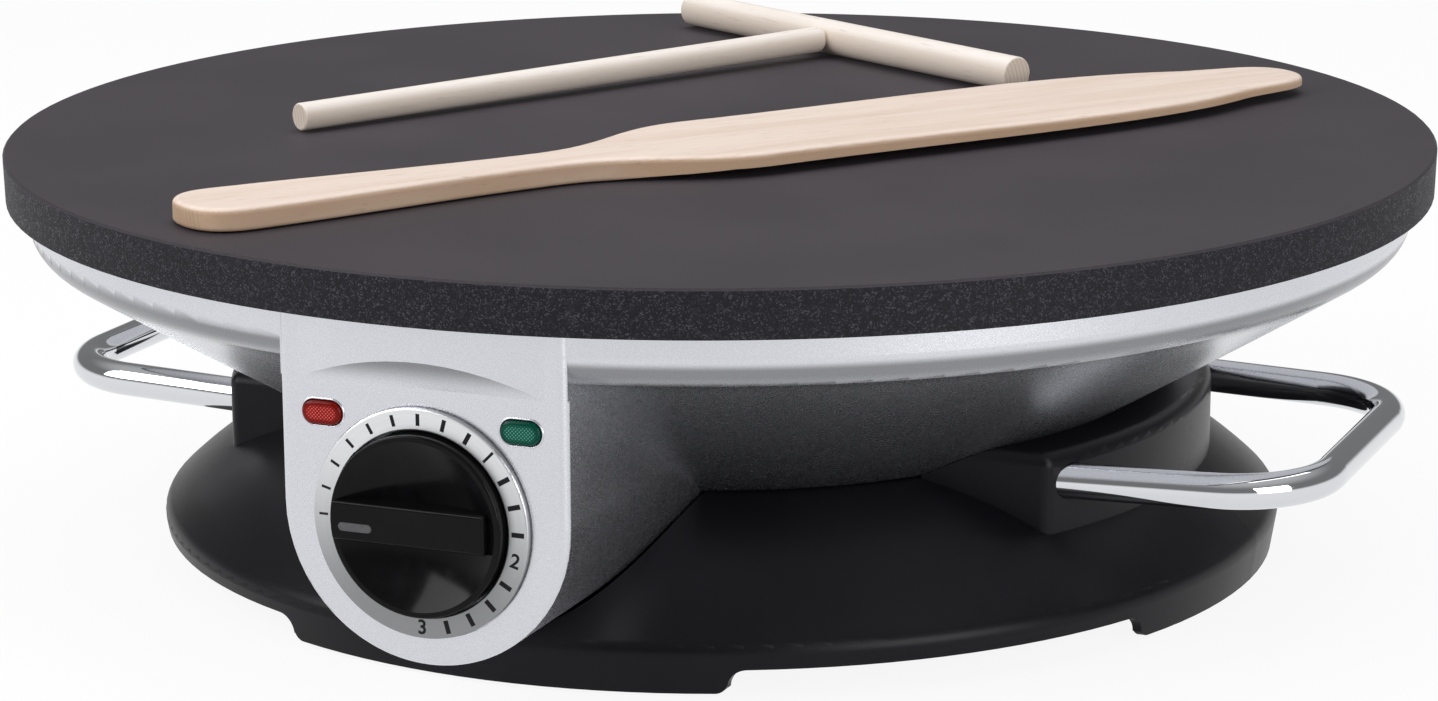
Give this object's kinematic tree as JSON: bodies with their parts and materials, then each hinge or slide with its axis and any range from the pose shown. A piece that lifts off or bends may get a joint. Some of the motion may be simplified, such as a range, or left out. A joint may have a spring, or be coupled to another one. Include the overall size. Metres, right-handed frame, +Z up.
{
  "type": "electric crepe maker",
  "caption": "Round electric crepe maker: flat coated hotplate on a bowl housing with a control pod and dial, footed base, two bent rod handles, and a wooden batter spreader and spatula.",
  "frame": {"origin": "on the hotplate's axis, at the level of the bench under the rubber foot pads", "axes": "+Z up through the middle of the hotplate, -Y towards the control pod, +X towards the right handle"},
  "size_m": [0.33, 0.33, 0.1047],
  "materials": {
    "plate_coating": "cast aluminium with a dark non-stick coating, satin top and speckled rim",
    "silver_paint": "moulded housing in satin metallic silver paint",
    "base_plastic": "black moulded plastic, fine satin grain",
    "cover_plastic": "plain black moulded plastic",
    "knob_plastic": "polished black",
    "pointer_line": "pale grey line",
    "dial_aluminium": "circular brushed aluminium with black graduations",
    "lens_red": "clear red with a prism pattern",
    "lens_green": "clear green with a prism pattern",
    "lamp_glass": "clear neon bulb",
    "holder_plastic": "off-white heat resistant plastic",
    "chrome": "polished chrome plate on steel rod",
    "steel": "zinc plated steel",
    "element_steel": "dull element sheath",
    "terminal_brass": "bright brass tabs",
    "shield_steel": "aluminised sheet steel",
    "block_ceramic": "glazed ceramic",
    "rubber": "soft black rubber",
    "lead_insulation": "braided glass sleeve over silicone",
    "wood": "sanded untreated beech",
    "wood_pale": "sanded untreated birch dowel"
  },
  "bodies": {
    "root": {"cooking_plate": "plate_coating", "heating_element": "element_steel", "element_terminals": "steel", "element_clamps": "steel", "clamp_screws": "steel", "heat_shield": "shield_steel", "plate_spacers": "steel", "tie_screws": "steel", "bowl_housing": "silver_paint", "dial_ring": "dial_aluminium", "thermostat_body": "steel", "thermostat_screws": "steel", "thermostat_terminals": "terminal_brass", "indicator_lens_red": "lens_red", "indicator_lens_green": "lens_green", "lamp_holders": "holder_plastic", "neon_lamps": "lamp_glass", "base_shell": "base_plastic", "bottom_cover": "cover_plastic", "cover_screws": "steel", "foot_pads": "rubber", "handle_left": "chrome", "handle_right": "chrome", "handle_screws": "steel", "capillary_sensor": "steel", "thermal_fuse": "block_ceramic", "sensor_clips": "steel", "sensor_clip_screws": "steel", "terminal_block": "block_ceramic", "terminal_screws": "terminal_brass", "inner_leads": "lead_insulation", "cord_gland": "rubber"},
    "knob": {"control_knob": "knob_plastic", "knob_pointer": "pointer_line", "knob_spring": "steel", "thermostat_shaft": "steel"},
    "spreader": {"spreader_bar": "wood_pale", "spreader_handle": "wood_pale"},
    "spatula": {"spatula": "wood"}
  },
  "joints": [
    {"name": "knob_turn", "type": "hinge", "parent": "root", "child": "knob", "pos_m": [0, -0.155, 0.0429], "axis": [0, 1, 0], "range_deg": [0, 270]},
    {"name": "spreader_lift", "type": "slide", "parent": "root", "child": "spreader", "axis": [0, 0, 1], "range_m": [0, 0.12]},
    {"name": "spatula_lift", "type": "slide", "parent": "root", "child": "spatula", "axis": [0, 0, 1], "range_m": [0, 0.12]}
  ]
}
